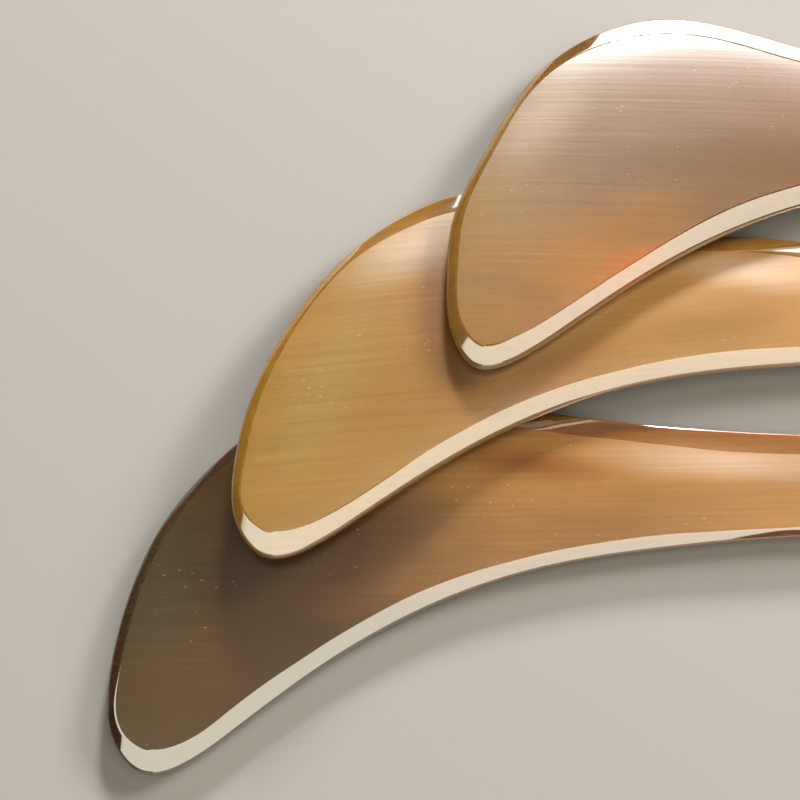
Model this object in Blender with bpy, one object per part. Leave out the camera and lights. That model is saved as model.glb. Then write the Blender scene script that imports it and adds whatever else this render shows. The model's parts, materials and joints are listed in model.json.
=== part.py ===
"""Set of three long gua sha scrapers, each one carved horn plate, fanned one on the next.

Metres, +Z up. The lower scraper lies flat on the ground plane. The middle and upper ones
lean on it like fanned cards: head raised on the plate below, back edge on the ground.
Heads point to -X, tails to +X. The origin is at the bottom centre of the whole set.
"""
import math

import bmesh
import bpy
import numpy as np
from mathutils import Euler, Vector

MM = 0.001

# Driving dimensions of one plate
THICKNESS = 6.0 * MM
EDGE_MIDDLE = 2.75 * MM
EDGE_HEIGHT = 2.8 * MM
EDGE_ROUND = 0.7 * MM
CROWN_WIDTH = 5.0 * MM
CROWN_RISE = 0.85 * MM
STEPS_PER_SPAN = 5
EDGE_STEPS = 4

# Outline of one plate in its own plane, anticlockwise: X, Y and the width of the bevel there,
# in millimetres. X runs along the plate from head to tail, Y from the hollowed edge to the back.
# The bevel of the hollowed edge is ground to a different width on each plate.
HOLLOW_EDGE = [
    (-28.4, -37.7), (-18.1, -35.1), (-9, -29.1), (9.6, -16.3),
    (31, -5), (54.6, 2.5), (82.3, 6.3), (108, 7.9),
]
TAIL_END = [(129, 7.3, 2.2), (142, 8.2, 2.6), (147.5, 17, 3.0), (140, 25.5, 3.2), (123, 29.8, 4.1)]
WAIST = [(100.4, 32.7, 4.8), (75, 35.6, 4.2)]
BACK_EDGE = [(52.3, 38.9, 4.6), (34.3, 44.9, 4.6), (16.7, 47.9, 4.6)]
SHOULDER = [(0.9, 43.1, 3.6), (-13.3, 32, 2.1)]
HEAD_END = [(-25, 14.3, 1.9), (-32.7, -3.2, 2.0)]
CHIN = [(-35.4, -17.9, 2.0), (-34.5, -30.5, 2.4)]

# Outward directions along which the shoulder, the waist and the chin differ between the plates
SHOULDER_OUT = (-0.62, 0.78)
WAIST_OUT = (0.0, 1.0)
CHIN_OUT = (-0.97, -0.24)

# Point of the outline that each plate is placed and turned about, millimetres
PIVOT = (45, 12)

# One entry per plate: place of its pivot (X, Y) and turn about Z, then how far it leans back
# about X and how far its tail drops about Y, then how far its shoulder, waist and chin stand out,
# then the bevel width at each point of its hollowed edge. Millimetres and degrees.
PLATES = {
    "lower_scraper": {
        "place": (18.7, -28.5), "turn": 1.8, "lean": 0.0, "drop": 0.0,
        "shoulder": -2.9, "waist": -1.0, "chin": 0.6,
        "hollow_bevel": (4.6, 3.6, 3.5, 3.2, 3.1, 2.5, 2.4, 1.5),
    },
    "middle_scraper": {
        "place": (45.2, 12.0), "turn": -0.1, "lean": -7.15, "drop": 1.205,
        "shoulder": -1.0, "waist": 1.7, "chin": 0.2,
        "hollow_bevel": (4.8, 3.9, 3.1, 3.2, 3.3, 3.1, 3.2, 1.7),
    },
    "upper_scraper": {
        "place": (88.7, 54.2), "turn": 0.9, "lean": -7.55, "drop": 1.24,
        "shoulder": 0.7, "waist": 0.0, "chin": -1.1,
        "hollow_bevel": (4.1, 3.6, 3.2, 3.2, 4.2, 3.9, 3.3, 1.8),
    },
}

COLOURS = {
    "lower_scraper": (0.42, 0.30, 0.17, 1.0),
    "middle_scraper": (0.68, 0.45, 0.20, 1.0),
    "upper_scraper": (0.66, 0.50, 0.32, 1.0),
}


def clear_objects():
    for obj in list(bpy.data.objects):
        bpy.data.objects.remove(obj, do_unlink=True)


def moved_out(points, direction, distance):
    return [(x + direction[0] * distance, y + direction[1] * distance, bevel) for x, y, bevel in points]


def control_points(plate):
    """Outline points round one plate, with its own shoulder, waist, chin and hollowed edge."""
    hollow = [(x, y, bevel) for (x, y), bevel in zip(HOLLOW_EDGE, plate["hollow_bevel"])]
    waist = moved_out(WAIST, WAIST_OUT, plate["waist"])
    shoulder = moved_out(SHOULDER, SHOULDER_OUT, plate["shoulder"])
    chin = moved_out(CHIN, CHIN_OUT, plate["chin"])
    return np.array(hollow + TAIL_END + waist + BACK_EDGE + shoulder + HEAD_END + chin) * MM


def closed_curve(points, steps):
    """Smooth closed cubic curve through the points, with steps points in each span."""
    count = len(points)
    chords = np.linalg.norm((np.roll(points, -1, axis=0) - points)[:, :2], axis=1)
    matrix = np.zeros((count, count))
    target = np.zeros(points.shape)
    for i in range(count):
        before = chords[i - 1]
        after = chords[i]
        matrix[i, i - 1] = after
        matrix[i, i] = 2 * (before + after)
        matrix[i, (i + 1) % count] = before
        slope_in = (points[i] - points[i - 1]) / before
        slope_out = (points[(i + 1) % count] - points[i]) / after
        target[i] = 3 * (after * slope_in + before * slope_out)
    tangents = np.linalg.solve(matrix, target)
    curve = []
    for i in range(count):
        j = (i + 1) % count
        for step in range(steps):
            t = step / steps
            start = (1 + 2 * t) * (1 - t) ** 2 * points[i] + t * t * (3 - 2 * t) * points[j]
            bend = t * (1 - t) * ((1 - t) * tangents[i] - t * tangents[j])
            curve.append(start + bend * chords[i])
    return np.array(curve)


def inward_normals(outline):
    """Unit normals that point into an anticlockwise closed outline."""
    along = np.roll(outline, -1, axis=0) - np.roll(outline, 1, axis=0)
    along = along / np.linalg.norm(along, axis=1)[:, None]
    return np.stack([-along[:, 1], along[:, 0]], axis=1)


def rim_rings(bevel):
    """Rings from the flat underside round the edge to the crowned face: (insets, height)."""
    rings = [(bevel, 0.0)]
    for step in range(EDGE_STEPS + 1):
        angle = math.pi * (step / EDGE_STEPS - 0.5)
        inset = EDGE_ROUND * (1 - math.cos(angle))
        height = EDGE_MIDDLE + EDGE_HEIGHT / 2 * math.sin(angle)
        rings.append((np.full(len(bevel), inset), height))
    rings.append((bevel, THICKNESS - CROWN_RISE))
    rings.append((bevel + CROWN_WIDTH, THICKNESS))
    return rings


def plate_mesh(name, plate):
    """Closed plate about its pivot: one ring of points per step of the rim, capped at both ends."""
    curve = closed_curve(control_points(plate), STEPS_PER_SPAN)
    outline = curve[:, :2]
    normals = inward_normals(outline)
    bm = bmesh.new()
    rings = []
    for insets, height in rim_rings(curve[:, 2]):
        ring = outline + normals * insets[:, None] - np.array(PIVOT) * MM
        rings.append([bm.verts.new((x, y, height)) for x, y in ring])
    for low, high in zip(rings, rings[1:]):
        for i in range(len(low)):
            j = (i + 1) % len(low)
            bm.faces.new((low[i], low[j], high[j], high[i]))
    bm.faces.new(list(reversed(rings[0])))
    bm.faces.new(rings[-1])
    mesh = bpy.data.meshes.new(name)
    bm.to_mesh(mesh)
    bm.free()
    mesh.shade_smooth()
    mesh.set_sharp_from_angle(angle=math.radians(10))
    return mesh


def horn_material(name, colour):
    material = bpy.data.materials.new(name)
    material.use_nodes = True
    shader = material.node_tree.nodes["Principled BSDF"]
    shader.inputs["Base Color"].default_value = colour
    shader.inputs["Roughness"].default_value = 0.25
    shader.inputs["Metallic"].default_value = 0.0
    material.diffuse_color = colour
    return material


def resting_height(mesh, rotation):
    """Height of the pivot at which the turned plate just touches the ground."""
    matrix = rotation.to_matrix()
    return -min((matrix @ vertex.co).z for vertex in mesh.vertices)


def add_plate(name, plate):
    mesh = plate_mesh(name, plate)
    mesh.materials.append(horn_material(name + "_horn", COLOURS[name]))
    rotation = Euler([math.radians(plate[turn]) for turn in ("lean", "drop", "turn")])
    obj = bpy.data.objects.new(name, mesh)
    bpy.context.scene.collection.objects.link(obj)
    obj.rotation_euler = rotation
    obj.location = Vector((*plate["place"], 0)) * MM
    obj.location.z = resting_height(mesh, rotation)
    return obj


def centre_on_origin(objects):
    """Move the whole set so that its box is centred on the Z axis."""
    bpy.context.view_layer.update()
    corners = [obj.matrix_world @ vertex.co for obj in objects for vertex in obj.data.vertices]
    for axis in (0, 1):
        values = [corner[axis] for corner in corners]
        centre = (min(values) + max(values)) / 2
        for obj in objects:
            obj.location[axis] -= centre


clear_objects()
centre_on_origin([add_plate(name, plate) for name, plate in PLATES.items()])
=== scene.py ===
"""Looks of the fanned set of three horn gua sha scrapers.

Each CAD plate is replaced by a fine mesh of the same plate: its outline and its section are read
from the CAD node, then drawn again with smooth curves, a rounded edge, crisp creases round the
faces and a low dome. The horn has satin faces with lengthwise polishing lines and a glossy
bevel. Metres, +Z up.
"""
import json
import math

import bmesh
import bpy
import numpy as np
from mathutils import Matrix, Vector, geometry, noise

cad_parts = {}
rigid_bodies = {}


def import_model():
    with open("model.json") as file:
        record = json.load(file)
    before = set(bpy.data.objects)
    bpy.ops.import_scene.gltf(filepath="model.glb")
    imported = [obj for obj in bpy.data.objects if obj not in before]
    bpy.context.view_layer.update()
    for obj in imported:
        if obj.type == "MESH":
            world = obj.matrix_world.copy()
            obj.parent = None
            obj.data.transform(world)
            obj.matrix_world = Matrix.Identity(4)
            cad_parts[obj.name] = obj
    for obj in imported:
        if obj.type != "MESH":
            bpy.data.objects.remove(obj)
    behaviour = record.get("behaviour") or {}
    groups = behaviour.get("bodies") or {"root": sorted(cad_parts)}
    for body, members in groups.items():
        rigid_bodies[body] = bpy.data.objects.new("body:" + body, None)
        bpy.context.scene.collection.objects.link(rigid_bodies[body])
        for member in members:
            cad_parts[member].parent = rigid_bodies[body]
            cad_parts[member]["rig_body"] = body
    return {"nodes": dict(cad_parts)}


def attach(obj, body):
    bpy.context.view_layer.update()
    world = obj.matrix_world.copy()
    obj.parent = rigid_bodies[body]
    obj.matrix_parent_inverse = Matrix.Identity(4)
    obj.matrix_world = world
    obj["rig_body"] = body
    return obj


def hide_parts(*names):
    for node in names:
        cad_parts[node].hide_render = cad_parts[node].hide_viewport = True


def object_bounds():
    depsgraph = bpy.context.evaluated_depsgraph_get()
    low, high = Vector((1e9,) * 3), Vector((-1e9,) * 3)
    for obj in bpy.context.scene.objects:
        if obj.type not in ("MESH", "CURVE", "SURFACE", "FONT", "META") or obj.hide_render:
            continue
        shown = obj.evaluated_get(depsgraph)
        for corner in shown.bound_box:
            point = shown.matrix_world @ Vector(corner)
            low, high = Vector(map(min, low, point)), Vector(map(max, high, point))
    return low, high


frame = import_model()
cad_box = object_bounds()

MM = 0.001

# Fineness of the plate meshes
OUTLINE_STEPS = 6
EDGE_ARC_STEPS = 14
EDGE_ARC_HALF = math.radians(72)
BEVEL_STATIONS = (0.04, 0.3, 0.65, 0.93, 0.985)
CREASE_ROUND = 0.12 * MM
FACE_LIP = 0.35 * MM
FACE_GRID = 1.0 * MM
UNDERSIDE_GRID = 4.0 * MM
GRID_CLEARANCE = 0.7

# Limits of the calculations: points compared at a time, smallest doubled area of a triangle,
# and how close two points of a triangulation may be
NEAREST_BLOCK = 500
SMALLEST_CROSS = 1e-12
MERGE_GAP = 1e-9
INSIDE_ONLY = 1

# Hand finish: how far the crease wanders, how much the bevel and the face undulate, and how far
# from the crease the face becomes wavy
CREASE_WANDER = 0.10 * MM
CREASE_WANDER_LENGTH = 9 * MM
FACE_WAVE = 0.018 * MM
FACE_WAVE_LENGTH = 16 * MM
FACE_CALM = 5 * MM
BEVEL_BULGE = 0.05 * MM

# The face's dome: how high its middle stands over the crease and how soon it levels out
DOME_RISE = 1.55 * MM
DOME_FADE = 9.5 * MM
DOME_SWEEPS = 600

# Reading the CAD node: vertices closer than this are one, heights closer than this are one level
WELD = 0.002 * MM
LEVEL_GAP = 0.05 * MM


# ---------------------------------------------------------------- plates read from the CAD nodes

def welded(node):
    """The CAD node's mesh with the vertices of its facets joined."""
    bm = bmesh.new()
    bm.from_mesh(node.data)
    bmesh.ops.remove_doubles(bm, verts=bm.verts[:], dist=WELD)
    return bm


def underside_normal(bm):
    """Normal of the largest flat of the plate, which is its underside."""
    totals = {}
    for face in bm.faces:
        key = tuple(round(value, 2) for value in face.normal)
        totals[key] = totals.get(key, Vector()) + face.normal * face.calc_area()
    return max(totals.values(), key=lambda total: total.length).normalized()


def plate_matrix(bm):
    """Frame of a plate: X along it, Y across it, Z out of its face, origin on its underside."""
    up = -underside_normal(bm)
    along = (Vector((1, 0, 0)) - up * up.x).normalized()
    turn = Matrix((along, up.cross(along), up)).transposed().to_4x4()
    middle = sum((vertex.co for vertex in bm.verts), Vector()) / len(bm.verts)
    lowest = min(vertex.co.dot(up) for vertex in bm.verts)
    return Matrix.Translation(middle - up * (middle.dot(up) - lowest)) @ turn


def height_levels(bm, matrix):
    """Vertices grouped by height above the underside: a list of (height, {vertex: local point})."""
    inverse = matrix.inverted()
    points = sorted(((inverse @ vertex.co, vertex) for vertex in bm.verts), key=lambda pair: pair[0].z)
    levels = []
    for point, vertex in points:
        if not levels or point.z - levels[-1][0] > LEVEL_GAP:
            levels.append((point.z, {}))
        levels[-1][1][vertex] = point
    return levels


def ring_points(members):
    """The vertices of one level in order round the plate, anticlockwise, as (X, Y) rows."""
    start = next(iter(members))
    ring = [start]
    before = None
    while True:
        here = ring[-1]
        ends = [edge.other_vert(here) for edge in here.link_edges]
        following = next(end for end in ends if end in members and end is not before)
        if following is start:
            break
        before = here
        ring.append(following)
    points = np.array([members[vertex][:2] for vertex in ring])
    after = np.roll(points, -1, axis=0)
    area = np.sum(points[:, 0] * after[:, 1] - points[:, 1] * after[:, 0])
    return points if area > 0 else points[::-1]


def nearest(points, targets):
    """For each point, the distance to the closest target and that target's index."""
    distances = []
    indices = []
    for block in np.array_split(points, max(1, len(points) // NEAREST_BLOCK)):
        gaps = np.linalg.norm(block[:, None, :] - targets[None, :, :], axis=2)
        indices.append(gaps.argmin(axis=1))
        distances.append(gaps.min(axis=1))
    return np.concatenate(distances), np.concatenate(indices)


def smooth_tangents(points, chords):
    """Slopes at the points that give a closed cubic curve without sudden bends."""
    count = len(points)
    matrix = np.zeros((count, count))
    target = np.zeros(points.shape)
    for i in range(count):
        before = chords[i - 1]
        after = chords[i]
        matrix[i, i - 1] = after
        matrix[i, i] = 2 * (before + after)
        matrix[i, (i + 1) % count] = before
        slope_in = (points[i] - points[i - 1]) / before
        slope_out = (points[(i + 1) % count] - points[i]) / after
        target[i] = 3 * (after * slope_in + before * slope_out)
    return np.linalg.solve(matrix, target)


def closed_curve(points, steps):
    """Smooth closed cubic curve through the points, with steps points in each span."""
    count = len(points)
    chords = np.linalg.norm((np.roll(points, -1, axis=0) - points)[:, :2], axis=1)
    tangents = smooth_tangents(points, chords)
    curve = []
    for i in range(count):
        j = (i + 1) % count
        for step in range(steps):
            t = step / steps
            start = (1 + 2 * t) * (1 - t) ** 2 * points[i] + t * t * (3 - 2 * t) * points[j]
            bend = t * (1 - t) * ((1 - t) * tangents[i] - t * tangents[j])
            curve.append(start + bend * chords[i])
    return np.array(curve)


def inward_normals(outline):
    """Unit normals that point into an anticlockwise closed outline."""
    along = np.roll(outline, -1, axis=0) - np.roll(outline, 1, axis=0)
    along = along / np.linalg.norm(along, axis=1)[:, None]
    return np.stack([-along[:, 1], along[:, 0]], axis=1)


def read_plate(node):
    """Everything that the CAD node says about its plate, in the plate's own frame.

    Its levels from below are the underside, the foot of the rounded edge, more of the edge, then
    the head of the edge, the crease and the flat top.
    """
    bm = welded(node)
    matrix = plate_matrix(bm)
    levels = height_levels(bm, matrix)
    heights = [height for height, members in levels]
    edge_foot = heights[1]
    edge_head = heights[-3]
    edge_middle = (edge_foot + edge_head) / 2
    edge_level = min(levels, key=lambda level: abs(level[0] - edge_middle))
    outline = ring_points(edge_level[1])
    crease = ring_points(levels[-2][1])
    bevel = nearest(outline, crease)[0]
    head_point = next(iter(levels[-3][1].values()))
    edge_round = nearest(np.array([head_point[:2]]), outline)[0][0]
    curve = closed_curve(np.column_stack([outline, bevel]), OUTLINE_STEPS)
    plate = {
        "matrix": matrix,
        "outline": curve[:, :2],
        "bevel": curve[:, 2],
        "edge_middle": edge_middle,
        "edge_height": edge_head - edge_foot,
        "edge_round": edge_round,
        "crease_height": heights[-2],
    }
    bm.free()
    return plate


# ---------------------------------------------------------------- fine meshes

def wander(points, length, seed):
    """Smooth random values from -1 to 1 at the points, with features of that length."""
    return np.array([noise.noise(Vector((x / length, y / length, seed))) for x, y in points])


def edge_weights(points, triangles):
    """Cotangent weight of each directed edge and the area round each point of a flat mesh."""
    starts = []
    ends = []
    weights = []
    areas = np.zeros(len(points))
    for corner in range(3):
        i, j, k = (triangles[:, (corner + step) % 3] for step in range(3))
        to_i = points[i] - points[k]
        to_j = points[j] - points[k]
        cross = np.abs(to_i[:, 0] * to_j[:, 1] - to_i[:, 1] * to_j[:, 0])
        half_cotangent = np.einsum("ij,ij->i", to_i, to_j) / np.maximum(cross, SMALLEST_CROSS) / 2
        areas += np.bincount(k, cross / 6, len(points))
        starts += [i, j]
        ends += [j, i]
        weights += [half_cotangent, half_cotangent]
    return np.concatenate(starts), np.concatenate(ends), np.concatenate(weights), areas


def dome_heights(plate, lip, inner, triangles):
    """Heights of the domed face: steepest at the crease and fading smoothly towards the middle."""
    points = np.concatenate([lip, inner])
    starts, ends, weights, areas = edge_weights(points, triangles)
    weights = weights * DOME_FADE ** 2
    total = np.bincount(starts, weights, len(points)) + areas
    distance = np.concatenate([np.full(len(lip), FACE_LIP), nearest(inner, lip)[0] + FACE_LIP])
    rise = DOME_RISE * (1 - np.exp(-distance / DOME_FADE))
    for _ in range(DOME_SWEEPS):
        spread = np.bincount(starts, weights * rise[ends], len(points))
        relaxed = (areas * DOME_RISE + spread) / total
        rise[len(lip):] = relaxed[len(lip):]
    return plate["crease_height"] + rise


def edge_stations(plate):
    """Rounded edge between the two bevels: (inset, height) from below to above."""
    stations = []
    for step in range(EDGE_ARC_STEPS + 1):
        angle = EDGE_ARC_HALF * (2 * step / EDGE_ARC_STEPS - 1)
        inset = plate["edge_round"] * (1 - math.cos(angle))
        height = plate["edge_middle"] + plate["edge_height"] / 2 * math.sin(angle)
        stations.append((inset, height))
    return stations


def bevel_rings(start, crease_height, crease_inset):
    """Rings from the edge to the crease, very slightly rounded: a list of (insets, height)."""
    rings = []
    for share in BEVEL_STATIONS:
        insets = start[0] + (crease_inset - start[0]) * share
        bulge = 4 * share * (1 - share) * BEVEL_BULGE
        side = 1 if crease_height > start[1] else -1
        rings.append((insets, start[1] + (crease_height - start[1]) * share + side * bulge))
    return rings


def rim_rings(plate, crease_inset):
    """All rings from the flat underside round the edge to the lip of the face."""
    edge = edge_stations(plate)
    lower = bevel_rings(edge[0], 0.0, plate["bevel"])
    upper = bevel_rings(edge[-1], plate["crease_height"], crease_inset)
    rings = [(plate["bevel"] + FACE_LIP, 0.0), (plate["bevel"] + CREASE_ROUND, 0.0)]
    rings += reversed(lower)
    rings += [(np.full(len(crease_inset), inset), height) for inset, height in edge]
    rings += upper
    first_rise = DOME_RISE / DOME_FADE * CREASE_ROUND
    rings.append((crease_inset + CREASE_ROUND, plate["crease_height"] + first_rise))
    return rings


def grid_inside(rim, normals, spacing):
    """Points of a triangular grid that lie inside the rim and clear of it."""
    low = rim.min(axis=0)
    high = rim.max(axis=0)
    row_height = spacing * math.sqrt(3) / 2
    points = []
    for row in range(int((high[1] - low[1]) / row_height) + 1):
        start = low[0] + (row % 2) * spacing / 2
        xs = np.arange(start, high[0], spacing)
        points.append(np.column_stack([xs, np.full(len(xs), low[1] + row * row_height)]))
    points = np.concatenate(points)
    index = nearest(points, rim)[1]
    depth = np.einsum("ij,ij->i", points - rim[index], normals[index])
    return points[depth > GRID_CLEARANCE * spacing]


def fill_rim(rim, inner):
    """Triangles over the rim's inside, using the inner points: index triples, rim points first."""
    points = [Vector(point) for point in np.concatenate([rim, inner])]
    rim_face = [list(range(len(rim)))]
    found = geometry.delaunay_2d_cdt(points, [], rim_face, INSIDE_ONLY, MERGE_GAP)
    sources = [origin[0] for origin in found[3]]
    return [[sources[corner] for corner in face] for face in found[2]]


def in_world(matrix, points):
    """Rows of points moved from a plate's own frame to the shared frame."""
    turn = np.array(matrix.to_3x3())
    return points @ turn.T + np.array(matrix.translation)


def face_sheet(plate, lip, normals, seed):
    """The domed face inside its lip: inner points, triangles and heights, lip points first."""
    inner = grid_inside(lip, normals, FACE_GRID)
    triangles = np.array(fill_rim(lip, inner))
    heights = dome_heights(plate, lip, inner, triangles)
    calm = np.minimum(nearest(inner, lip)[0] / FACE_CALM, 1)
    heights[len(lip):] += FACE_WAVE * calm * wander(inner, FACE_WAVE_LENGTH, seed)
    return inner, triangles, heights


def ring_quads(rings):
    """Faces between each ring of points and the next."""
    count = len(rings[0])
    quads = []
    for low in range(0, (len(rings) - 1) * count, count):
        high = low + count
        for i in range(count):
            j = (i + 1) % count
            quads.append((low + i, low + j, high + j, high + i))
    return quads


def plate_mesh(name, plate, seed):
    """The fine closed mesh of a plate in the shared frame: material 0 on its faces, 1 on its rim."""
    outline = plate["outline"]
    count = len(outline)
    normals = inward_normals(outline)
    crease_inset = plate["bevel"] + CREASE_WANDER * wander(outline, CREASE_WANDER_LENGTH, seed)
    rings = []
    for insets, height in rim_rings(plate, crease_inset):
        rings.append(np.column_stack([outline + normals * insets[:, None], np.full(count, height)]))
    lip = outline + normals * (crease_inset + FACE_LIP)[:, None]
    face_inner, face_triangles, heights = face_sheet(plate, lip, normals, seed)
    rings.append(np.column_stack([lip, heights[:count]]))
    under_rim = rings[0][:, :2]
    under_inner = grid_inside(under_rim, normals, UNDERSIDE_GRID)

    face_points = np.column_stack([face_inner, heights[count:]])
    under_points = np.column_stack([under_inner, np.zeros(len(under_inner))])
    points = np.concatenate([*rings, face_points, under_points])
    lip_start = (len(rings) - 1) * count
    under_start = len(points) - len(under_points)
    quads = ring_quads(rings)
    faces = quads + (lip_start + face_triangles).tolist()
    for triangle in fill_rim(under_rim, under_inner):
        faces.append([i if i < count else under_start + i - count for i in reversed(triangle)])

    mesh = bpy.data.meshes.new(name)
    mesh.from_pydata(in_world(plate["matrix"], points).tolist(), [], faces)
    mesh.polygons.foreach_set("material_index", [1] * len(quads) + [0] * (len(faces) - len(quads)))
    mesh.shade_smooth()
    mesh.update()
    return mesh


# ---------------------------------------------------------------- horn

# Patterns in the horn: features per metre along, across and through the plate, then the detail
# and the roughness of the noise
ZONE_CLOUDS = ((22, 60, 60), 3.0, 0.5)
PATCH_CLOUDS = ((40, 90, 90), 3.0, 0.5)
BROAD_CLOUDS = ((22, 70, 60), 3.0, 0.5)
FIBRES = ((20, 1100, 20), 2.0, 0.6)
FLECK_CLUSTERS = ((70, 110, 70), 2.0, 0.5)
BRUSH_LINES = ((16, 1300, 20), 2.0, 0.6)
BRUSH_DRIFT = ((14, 240, 20), 1.0, 0.5)
WEAR = ((20, 90, 60), 2.0, 0.5)
SMEARS = ((90, 260, 90), 3.0, 0.5)
RIPPLES = ((120, 120, 120), 1.0, 0.5)

# The part of the noise's range that is stretched to the full effect
CLOUD_SPREAD = (0.3, 0.7)
WEAR_SPREAD = (0.25, 0.75)

# Where the colour zones run along the plate, and how far the clouds push their borders
ZONES_START = -75 * MM
ZONES_END = 125 * MM
ZONE_CLOUD_PUSH = 50 * MM

# How strongly the clouds and the fibres change the colour
BROAD_TONES = (0.94, 1.06)
FIBRE_TONES = (0.92, 1.08)

# Patches of another tone fade out between these distances, in patch sizes
PATCH_FADE = (0.2, 1.3)
PATCH_RAGGEDNESS = 0.5

# Pale flecks: cells per metre, where a fleck fades within its cell, where the clusters begin
FLECK_CELLS = (330, 900, 300)
FLECK_FADE = (0.05, 0.16)
FLECK_CLUSTER_FADE = (0.50, 0.64)
FLECK_COLOUR = (0.80, 0.68, 0.52)
FLECK_STRENGTH = 0.22

# Translucency: light travels a few millimetres in horn, red furthest
HORN_TRANSLUCENCY = 0.7
HORN_LIGHT_REACH = 5 * MM
HORN_REACH_BY_COLOUR = (1.0, 0.42, 0.12)

# Satin faces. Below a roughness of 0.274 the denoiser draws false edges, so the range stays above.
SATIN_IOR = 1.8
SATIN_ROUGHNESS = (0.28, 0.30)
SATIN_ANISOTROPY = 0.15
BRUSH_DEPTH = 0.05 * MM
BRUSH_STRENGTH = 0.33
BRUSH_DRIFT_TURN = 0.03
BRUSH_DRIFT_SHARE = 0.6

# Polished rim. END_FACING is the normal's X where the coat is weakest and where it is full again:
# the head's end faces -X.
POLISHED_IOR = 1.55
POLISHED_GLOSS = 1.0
POLISHED_ROUGHNESS = (0.06, 0.12)
COAT_ROUGHNESS = 0.04
COAT_IOR = 3.5
EDGE_TINT_SHARE = 0.75
END_FACING = (-0.48, -0.28)
END_POLISH = 0.2
RIPPLE_DEPTH = 0.05 * MM
RIPPLE_STRENGTH = 0.2


def new_material(name):
    """A material, its node tree and its Principled node."""
    material = bpy.data.materials.new(name)
    material.use_nodes = True
    return material, material.node_tree, material.node_tree.nodes["Principled BSDF"]


def add_node(tree, kind, settings=None, values=None):
    """A new node with its settings and its unlinked input values."""
    node = tree.nodes.new(kind)
    for key, value in (settings or {}).items():
        setattr(node, key, value)
    for key, value in (values or {}).items():
        node.inputs[key].default_value = value
    return node


def math_node(tree, operation, first, second):
    """Result of an operation on two values; each is a socket or a number."""
    node = add_node(tree, "ShaderNodeMath", {"operation": operation})
    for socket, value in zip(node.inputs, (first, second)):
        if isinstance(value, (int, float)):
            socket.default_value = value
        else:
            tree.links.new(value, socket)
    return node.outputs[0]


def map_range(tree, value, low, high, to_low=0.0, to_high=1.0, smooth=True):
    """The value's range low to high moved to another range, and clamped there."""
    node = add_node(tree, "ShaderNodeMapRange", values={1: low, 2: high, 3: to_low, 4: to_high})
    node.interpolation_type = "SMOOTHSTEP" if smooth else "LINEAR"
    tree.links.new(value, node.inputs[0])
    return node.outputs[0]


def plate_coordinates(tree, matrix):
    """The plate's own X, Y and Z in metres, as a vector."""
    node = add_node(tree, "ShaderNodeMapping", {"vector_type": "TEXTURE"}, {
        "Location": matrix.translation, "Rotation": matrix.to_euler()})
    tree.links.new(tree.nodes.new("ShaderNodeTexCoord").outputs["Object"], node.inputs["Vector"])
    return node.outputs[0]


def turned_and_scaled(tree, vector, turn, scale):
    """Coordinates turned by turn about Z and then multiplied by scale."""
    turned = add_node(tree, "ShaderNodeMapping", {"vector_type": "TEXTURE"}, {"Rotation": (0, 0, turn)})
    scaled = add_node(tree, "ShaderNodeMapping", values={"Scale": scale})
    tree.links.new(vector, turned.inputs["Vector"])
    tree.links.new(turned.outputs[0], scaled.inputs["Vector"])
    return scaled.outputs[0]


def noise_value(tree, coordinates, turn, pattern):
    """Soft noise from 0 to 1 after a pattern, with its features turned about Z."""
    scale, detail, roughness = pattern
    vector = turned_and_scaled(tree, coordinates, turn, scale)
    node = add_node(tree, "ShaderNodeTexNoise", values={
        "Scale": 1.0, "Detail": detail, "Roughness": roughness})
    tree.links.new(vector, node.inputs["Vector"])
    return node.outputs["Fac"]


def mixed(tree, factor, first, second, blend="MIX"):
    """First colour mixed towards the second; each is a socket or a fixed RGB.

    Sockets 0, 6, 7 and 2 are the node's factor, its two colours and its colour result.
    """
    node = add_node(tree, "ShaderNodeMix", {"data_type": "RGBA", "blend_type": blend})
    for socket, value in zip((node.inputs[0], node.inputs[6], node.inputs[7]), (factor, first, second)):
        if isinstance(value, bpy.types.NodeSocket):
            tree.links.new(value, socket)
        elif isinstance(value, tuple):
            socket.default_value = (*value, 1.0)
        else:
            socket.default_value = value
    return node.outputs[2]


def lengthwise_colour(tree, coordinates, horn):
    """Horn colour from head to tail, with cloudy borders between its zones."""
    cloud = noise_value(tree, coordinates, horn["grain"], ZONE_CLOUDS)
    split = add_node(tree, "ShaderNodeSeparateXYZ")
    tree.links.new(coordinates, split.inputs[0])
    push = math_node(tree, "MULTIPLY", cloud, ZONE_CLOUD_PUSH)
    shifted = math_node(tree, "ADD", split.outputs["X"], push)
    place = map_range(tree, shifted, ZONES_START, ZONES_END, smooth=False)
    ramp = add_node(tree, "ShaderNodeValToRGB")
    ramp.color_ramp.interpolation = "EASE"
    stops = ramp.color_ramp.elements
    while len(stops) < len(horn["zones"]):
        stops.new(0.5)
    for stop, (position, colour) in zip(stops, horn["zones"]):
        stop.position = position
        stop.color = (*colour, 1.0)
    tree.links.new(place, ramp.inputs["Fac"])
    return ramp.outputs["Color"]


def with_patch(tree, coordinates, colour, patch):
    """Colour with one soft cloudy patch of another tone. Some patches are horn tones, some painted shade
    and some painted sheen.
    """
    offset = add_node(tree, "ShaderNodeMapping", {"vector_type": "TEXTURE"}, {
        "Location": (*patch["place"], 0), "Rotation": (0, 0, patch["turn"]),
        "Scale": (*patch["size"], 1)})
    tree.links.new(coordinates, offset.inputs["Vector"])
    length = add_node(tree, "ShaderNodeVectorMath", {"operation": "LENGTH"})
    tree.links.new(offset.outputs[0], length.inputs[0])
    cloud = noise_value(tree, coordinates, 0.0, PATCH_CLOUDS)
    raggedness = math_node(tree, "MULTIPLY", cloud, PATCH_RAGGEDNESS)
    distance = math_node(tree, "ADD", length.outputs["Value"], raggedness)
    share = map_range(tree, distance, *PATCH_FADE, patch["strength"], 0.0)
    return mixed(tree, share, colour, patch["colour"])


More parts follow.
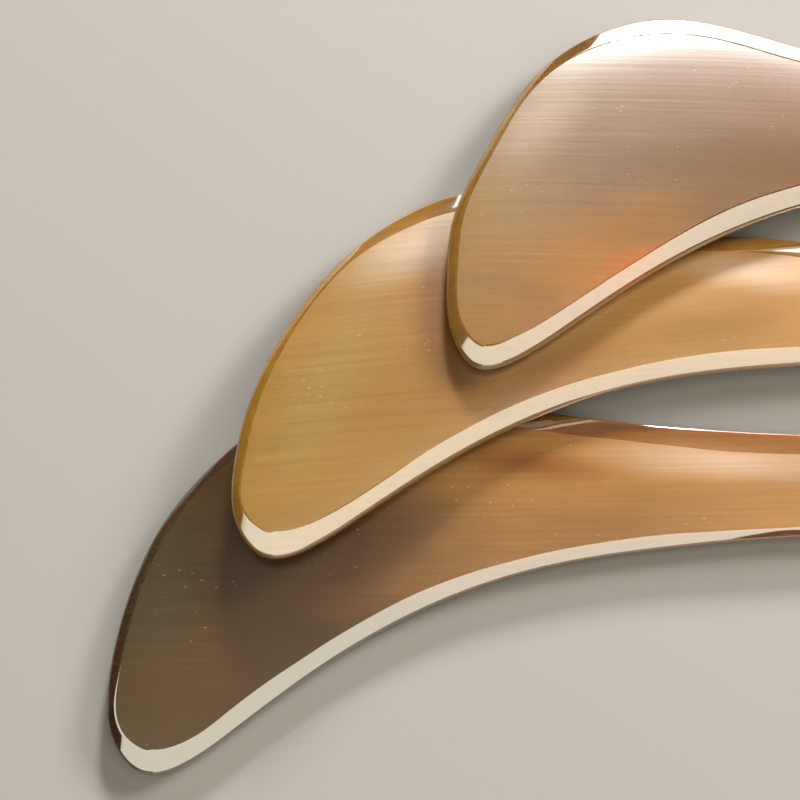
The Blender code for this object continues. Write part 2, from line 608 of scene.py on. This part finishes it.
def with_streaks(tree, coordinates, colour, horn):
    """Colour with the horn's soft clouds and short fine fibres, pale and dark."""
    broad = noise_value(tree, coordinates, horn["grain"], BROAD_CLOUDS)
    fine = noise_value(tree, coordinates, horn["grain"], FIBRES)
    broad_tone = map_range(tree, broad, *CLOUD_SPREAD, *BROAD_TONES)
    fine_tone = map_range(tree, fine, *CLOUD_SPREAD, *FIBRE_TONES)
    tone = math_node(tree, "MULTIPLY", broad_tone, fine_tone)
    shade = add_node(tree, "ShaderNodeCombineColor")
    for socket in shade.inputs:
        tree.links.new(tone, socket)
    return mixed(tree, 1.0, colour, shade.outputs[0], "MULTIPLY")


def flecks(tree, coordinates, horn):
    """Sparse tiny pale marks drawn out along the grain, gathered in loose clusters."""
    cells = add_node(tree, "ShaderNodeTexVoronoi", values={"Scale": 1.0, "Randomness": 1.0})
    vector = turned_and_scaled(tree, coordinates, horn["grain"], FLECK_CELLS)
    tree.links.new(vector, cells.inputs["Vector"])
    near = map_range(tree, cells.outputs["Distance"], *FLECK_FADE, 1.0, 0.0)
    cluster = noise_value(tree, coordinates, 0.0, FLECK_CLUSTERS)
    kept = map_range(tree, cluster, *FLECK_CLUSTER_FADE)
    return math_node(tree, "MULTIPLY", near, kept)


def horn_colour(tree, coordinates, horn):
    """The plate's colour: its zones, then its patches, which hold painted shade and painted sheen as well
    as horn tones, then its streaks.
    """
    colour = lengthwise_colour(tree, coordinates, horn)
    for patch in horn["patches"]:
        colour = with_patch(tree, coordinates, colour, patch)
    return with_streaks(tree, coordinates, colour, horn)


def make_translucent(shader):
    """Lets light travel through the horn below its surface."""
    shader.inputs["Subsurface Weight"].default_value = HORN_TRANSLUCENCY
    shader.inputs["Subsurface Radius"].default_value = HORN_REACH_BY_COLOUR
    shader.inputs["Subsurface Scale"].default_value = HORN_LIGHT_REACH


def brushed_height(tree, coordinates, horn):
    """Fine polishing lines along the plate."""
    lines = noise_value(tree, coordinates, horn["grain"], BRUSH_LINES)
    drift = noise_value(tree, coordinates, horn["grain"] + BRUSH_DRIFT_TURN, BRUSH_DRIFT)
    return math_node(tree, "ADD", lines, math_node(tree, "MULTIPLY", drift, BRUSH_DRIFT_SHARE))


def bumped(tree, shader, height, distance, strength):
    """Bends the shader's surface after a height from 0 to 1, whose full range is distance."""
    bump = add_node(tree, "ShaderNodeBump", values={"Distance": distance, "Strength": strength})
    tree.links.new(height, bump.inputs["Height"])
    tree.links.new(bump.outputs["Normal"], shader.inputs["Normal"])


def across_the_grain(tree, horn, matrix):
    """Direction across the polishing lines, which stretches the faces' highlights that way."""
    direction = add_node(tree, "ShaderNodeVectorTransform", {
        "vector_type": "VECTOR", "convert_from": "OBJECT", "convert_to": "WORLD"})
    across = Vector((-math.sin(horn["grain"]), math.cos(horn["grain"]), 0))
    direction.inputs[0].default_value = matrix.to_3x3() @ across
    return direction.outputs[0]


def satin_horn(name, horn, matrix):
    """Flat faces: satin, brushed along the plate, with pale flecks."""
    material, tree, shader = new_material(name)
    coordinates = plate_coordinates(tree, matrix)
    fleck = flecks(tree, coordinates, horn)
    colour = horn_colour(tree, coordinates, horn)
    colour = mixed(tree, math_node(tree, "MULTIPLY", fleck, FLECK_STRENGTH), colour, FLECK_COLOUR)
    tree.links.new(colour, shader.inputs["Base Color"])
    make_translucent(shader)
    shader.inputs["IOR"].default_value = SATIN_IOR
    wear = noise_value(tree, coordinates, horn["grain"], WEAR)
    tree.links.new(map_range(tree, wear, *WEAR_SPREAD, *SATIN_ROUGHNESS), shader.inputs["Roughness"])
    shader.inputs["Specular IOR Level"].default_value = horn["gloss"]
    shader.inputs["Anisotropic"].default_value = SATIN_ANISOTROPY
    tree.links.new(across_the_grain(tree, horn, matrix), shader.inputs["Tangent"])
    bumped(tree, shader, brushed_height(tree, coordinates, horn), BRUSH_DEPTH, BRUSH_STRENGTH)
    return material


def end_polish(tree):
    """Polish of the rim: full along both long sides, softer round the head's end."""
    split = add_node(tree, "ShaderNodeSeparateXYZ")
    tree.links.new(tree.nodes.new("ShaderNodeNewGeometry").outputs["Normal"], split.inputs[0])
    return map_range(tree, split.outputs["X"], *END_FACING, END_POLISH, 1.0)


def polished_horn(name, horn, matrix):
    """Bevels and edge: glossy, deeper amber where the horn gets thin."""
    material, tree, shader = new_material(name)
    coordinates = plate_coordinates(tree, matrix)
    colour = horn_colour(tree, coordinates, horn)
    colour = mixed(tree, EDGE_TINT_SHARE, colour, horn["edge_tint"], "MULTIPLY")
    tree.links.new(colour, shader.inputs["Base Color"])
    make_translucent(shader)
    shader.inputs["IOR"].default_value = POLISHED_IOR
    smear = noise_value(tree, coordinates, horn["grain"], SMEARS)
    tree.links.new(map_range(tree, smear, *CLOUD_SPREAD, *POLISHED_ROUGHNESS), shader.inputs["Roughness"])
    shader.inputs["Specular IOR Level"].default_value = POLISHED_GLOSS
    tree.links.new(end_polish(tree), shader.inputs["Coat Weight"])
    shader.inputs["Coat Roughness"].default_value = COAT_ROUGHNESS
    shader.inputs["Coat IOR"].default_value = COAT_IOR
    ripple = noise_value(tree, coordinates, 0.0, RIPPLES)
    bumped(tree, shader, ripple, RIPPLE_DEPTH, RIPPLE_STRENGTH)
    return material


# One entry per plate: the turn of its grain in radians, the gloss of its faces, its colour zones
# from head (0) to tail (1), its patches, and the tint of its thin rim. Some patches are horn
# tones; the others are painted shade where one plate shades the next and painted sheen near the far
# edges. A patch has its place from the plate's middle and its half lengths in metres, and its turn
# in radians.
HORNS = {
    "lower_scraper": {
        "slot": "lower_horn",
        "grain": 0.02,
        "gloss": 0.22,
        # The two dark zones at the head are partly the horn's darker tone and partly painted shade where
        # the middle plate shades the lower one.
        "zones": [
            (0.0, (0.058, 0.032, 0.008)), (0.30, (0.066, 0.027, 0.005)),
            (0.55, (0.22, 0.108, 0.031)), (1.0, (0.31, 0.162, 0.058)),
        ],
        "patches": [
            {"place": (-0.066, -0.004), "turn": 1.2, "size": (0.030, 0.012),
             "colour": (0.050, 0.052, 0.030), "strength": 0.5},
            # Painted shade: a dark amber streak where the middle plate shades the lower one.
            {"place": (0.011, 0.0165), "turn": -0.12, "size": (0.024, 0.0050),
             "colour": (0.12, 0.034, 0.003), "strength": 0.75},
            # Painted sheen: a pale haze along the far edge.
            {"place": (0.052, 0.0175), "turn": -0.06, "size": (0.036, 0.0060),
             "colour": (0.58, 0.49, 0.42), "strength": 0.40},
        ],
        "edge_tint": (0.85, 0.62, 0.36),
    },
    "middle_scraper": {
        "slot": "middle_horn",
        "grain": 0.10,
        "gloss": 0.75,
        "zones": [
            (0.0, (0.230, 0.132, 0.020)), (0.30, (0.215, 0.110, 0.015)),
            (0.55, (0.235, 0.115, 0.017)), (1.0, (0.36, 0.180, 0.046)),
        ],
        "patches": [
            {"place": (-0.060, -0.010), "turn": 1.2, "size": (0.034, 0.010),
             "colour": (0.22, 0.15, 0.035), "strength": 0.6},
            # Painted shadow: a dark amber strip beside the upper plate's left edge, where the upper plate
            # shades this one.
            {"place": (-0.0350, 0.0080), "turn": 1.65, "size": (0.030, 0.0100),
             "colour": (0.17, 0.060, 0.003), "strength": 0.85},
            # Painted shadow: a dark amber patch under the upper plate's tip and near edge.
            {"place": (-0.0193, -0.0080), "turn": 0.38, "size": (0.032, 0.0095),
             "colour": (0.18, 0.066, 0.004), "strength": 0.80},
            # Painted sheen: a pale haze on the head near the far edge.
            {"place": (-0.0400, 0.0240), "turn": 0.50, "size": (0.022, 0.0090),
             "colour": (0.46, 0.39, 0.33), "strength": 0.40},
            # Painted sheen: a pale haze along the far edge towards the tail.
            {"place": (0.0340, 0.0185), "turn": -0.10, "size": (0.026, 0.0060),
             "colour": (0.52, 0.45, 0.40), "strength": 0.35},
        ],
        "edge_tint": (1.0, 0.92, 0.50),
    },
    "upper_scraper": {
        "slot": "upper_horn",
        "grain": -0.02,
        "gloss": 0.8,
        "zones": [
            (0.0, (0.23, 0.125, 0.026)), (0.30, (0.125, 0.062, 0.013)),
            (0.55, (0.125, 0.050, 0.008)), (1.0, (0.19, 0.085, 0.020)),
        ],
        "patches": [
            {"place": (-0.044, -0.026), "turn": 0.5, "size": (0.036, 0.020),
             "colour": (0.27, 0.106, 0.010), "strength": 0.8},
            {"place": (-0.037, -0.025), "turn": 0.55, "size": (0.015, 0.006),
             "colour": (0.34, 0.078, 0.004), "strength": 0.75},
            # Painted sheen: a pale haze on the head near the far edge.
            {"place": (-0.0580, 0.0090), "turn": 0.90, "size": (0.022, 0.0110),
             "colour": (0.34, 0.28, 0.22), "strength": 0.35},
        ],
        "edge_tint": (1.0, 0.92, 0.50),
    },
}


# Keeps the wander and the waves of the plates apart
SEED_STEP = 3.7


def add_plate(node_name, horn, seed):
    """The fine plate in place of its CAD node, on the same body, with its own horn."""
    node = frame["nodes"][node_name]
    plate = read_plate(node)
    piece = bpy.data.objects.new(node_name + "_horn", plate_mesh(node_name + "_fine", plate, seed))
    bpy.context.scene.collection.objects.link(piece)
    piece.data.materials.append(satin_horn(node_name + "_satin", horn, plate["matrix"]))
    piece.data.materials.append(polished_horn(node_name + "_polished", horn, plate["matrix"]))
    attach(piece, node["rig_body"])
    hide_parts(node_name)


# ---------------------------------------------------------------- floor, light and camera

FLOOR_SIZE = 6.0
FLOOR_CELLS = 8
FLOOR_GAP = 0.02 * MM
FLOOR_COLOUR = (0.26, 0.25, 0.24, 1.0)
FLOOR_ROUGHNESS = 0.75
FLOOR_GLOSS = 0.2

VIEW_CENTRE = Vector((-0.0648, -0.0045, 0.003))
VIEW_ELEVATION = math.radians(75)
VIEW_DISTANCE = 0.4831
VIEW_LENS = 100
VIEW_CLIP_START = 0.01

WARM_LIGHT = (1.0, 0.94, 0.75)
PALE_LIGHT = (1.0, 0.97, 0.94)
SIDE_LIGHT = (1.0, 0.95, 0.88)
AMBIENT_STRENGTH = 0.05

# Area lights: name, place from the middle of the view, facing, size, radiance and colour.
# The three warm panels meet edge to edge, because where two of them overlap their light adds up.
SOFTBOXES = [
    ("near_panel", (-0.10, -0.525, 1.30), (0, 0, -1), (3.2, 1.45), 1.5, WARM_LIGHT),
    ("right_panel", (0.725, 0.31, 1.30), (0, 0, -1), (0.85, 0.22), 1.55, WARM_LIGHT),
    ("low_panel", (0.33, -1.13, 0.65), (0, 0.87, -0.5), (1.00, 0.743), 1.5, WARM_LIGHT),
    ("far_box", (0.285, 1.226, 0.434), (0, -0.94, -0.33), (0.67, 0.39), 2.7, PALE_LIGHT),
    ("far_key", (0.18, 1.20, 0.448), (-0.14, -0.93, -0.34), (0.24, 0.18), 275.0, PALE_LIGHT),
    ("side_key", (1.05, 0.70, 0.60), (-0.75, -0.5, -0.43), (0.45, 0.40), 55.0, SIDE_LIGHT),
]


def add_floor():
    """A plain pale floor, level with the surface that the set rests on."""
    bm = bmesh.new()
    bmesh.ops.create_grid(bm, x_segments=FLOOR_CELLS, y_segments=FLOOR_CELLS, size=FLOOR_SIZE / 2)
    mesh = bpy.data.meshes.new("floor")
    bm.to_mesh(mesh)
    bm.free()
    floor = bpy.data.objects.new("floor", mesh)
    floor.location.z = cad_box[0].z - FLOOR_GAP
    bpy.context.scene.collection.objects.link(floor)
    material, tree, shader = new_material("pale_floor")
    shader.inputs["Base Color"].default_value = FLOOR_COLOUR
    shader.inputs["Roughness"].default_value = FLOOR_ROUGHNESS
    shader.inputs["Specular IOR Level"].default_value = FLOOR_GLOSS
    mesh.materials.append(material)


def add_softbox(name, place, facing, size, radiance, colour):
    """A rectangular area light; radiance is what a mirror facing it shows."""
    light = bpy.data.lights.new(name, "AREA")
    light.shape = "RECTANGLE"
    light.size, light.size_y = size
    light.energy = radiance * size[0] * size[1] * math.pi
    light.color = colour
    lamp = bpy.data.objects.new(name, light)
    lamp.location = VIEW_CENTRE + Vector(place)
    lamp.rotation_euler = Vector(facing).to_track_quat("-Z", "Y").to_euler()
    bpy.context.scene.collection.objects.link(lamp)


def add_ambient_light():
    """A very weak even light from all round."""
    world = bpy.data.worlds.new("studio")
    world.use_nodes = True
    background = world.node_tree.nodes["Background"]
    background.inputs["Color"].default_value = (*PALE_LIGHT, 1.0)
    background.inputs["Strength"].default_value = AMBIENT_STRENGTH
    bpy.context.scene.world = world


def add_camera():
    """The camera, tilted back from straight above the set."""
    data = bpy.data.cameras.new("camera")
    data.lens = VIEW_LENS
    data.clip_start = VIEW_CLIP_START
    camera = bpy.data.objects.new("camera", data)
    back = Vector((0, -math.cos(VIEW_ELEVATION), math.sin(VIEW_ELEVATION)))
    camera.location = VIEW_CENTRE + back * VIEW_DISTANCE
    camera.rotation_euler = back.to_track_quat("Z", "Y").to_euler()
    bpy.context.scene.collection.objects.link(camera)
    bpy.context.scene.camera = camera


for seed, (node_name, horn) in enumerate(HORNS.items()):
    add_plate(node_name, horn, SEED_STEP * (seed + 1))
add_floor()
for softbox in SOFTBOXES:
    add_softbox(*softbox)
add_ambient_light()
add_camera()
bpy.context.scene.view_settings.view_transform = "Standard"
